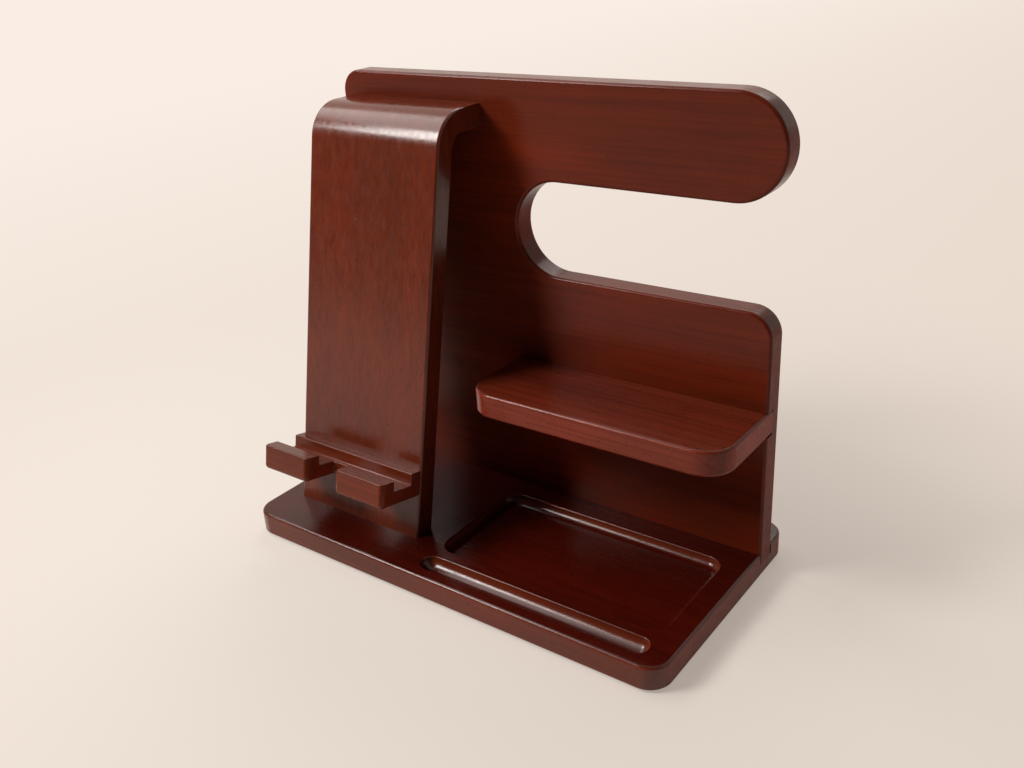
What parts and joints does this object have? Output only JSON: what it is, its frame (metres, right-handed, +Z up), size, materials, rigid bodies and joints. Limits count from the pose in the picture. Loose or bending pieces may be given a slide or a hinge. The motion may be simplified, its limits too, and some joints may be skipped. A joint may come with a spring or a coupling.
{
  "type": "wooden docking station",
  "caption": "Wooden docking station for a bedside or desk: leaning phone board with rest, hanging arm, shelf, tray and pen groove.",
  "frame": {"origin": "under the middle of the whole station, at the level that its four feet stand on", "axes": "+X to the right along the base, +Y to the back, +Z up; the phone board faces -Y"},
  "size_m": [0.253, 0.132, 0.2317],
  "materials": {
    "base_wood": "dark red mahogany stain under satin lacquer, grain left to right",
    "panel_wood": "dark red mahogany stain under satin lacquer, grain left to right",
    "shelf_wood": "dark red mahogany stain under satin lacquer, grain left to right",
    "phone_board_wood": "dark red mahogany stain under satin lacquer, grain upright",
    "rest_wood": "dark red mahogany stain under satin lacquer, grain left to right",
    "screw_steel": "bright zinc plating",
    "dowel_wood": "bare beech",
    "foot_rubber": "matt black"
  },
  "bodies": {
    "root": {"base_board": "base_wood", "back_panel": "panel_wood", "shelf": "shelf_wood", "phone_board": "phone_board_wood", "phone_rest": "rest_wood", "panel_screw_left": "screw_steel", "panel_screw_middle": "screw_steel", "panel_screw_right": "screw_steel", "phone_screw_left": "screw_steel", "phone_screw_right": "screw_steel", "rest_screw_left": "screw_steel", "rest_screw_right": "screw_steel", "shelf_screw_left": "screw_steel", "shelf_screw_right": "screw_steel", "top_dowel_left": "dowel_wood", "top_dowel_right": "dowel_wood", "foot_pad_front_left": "foot_rubber", "foot_pad_front_right": "foot_rubber", "foot_pad_back_left": "foot_rubber", "foot_pad_back_right": "foot_rubber"}
  },
  "joints": []
}
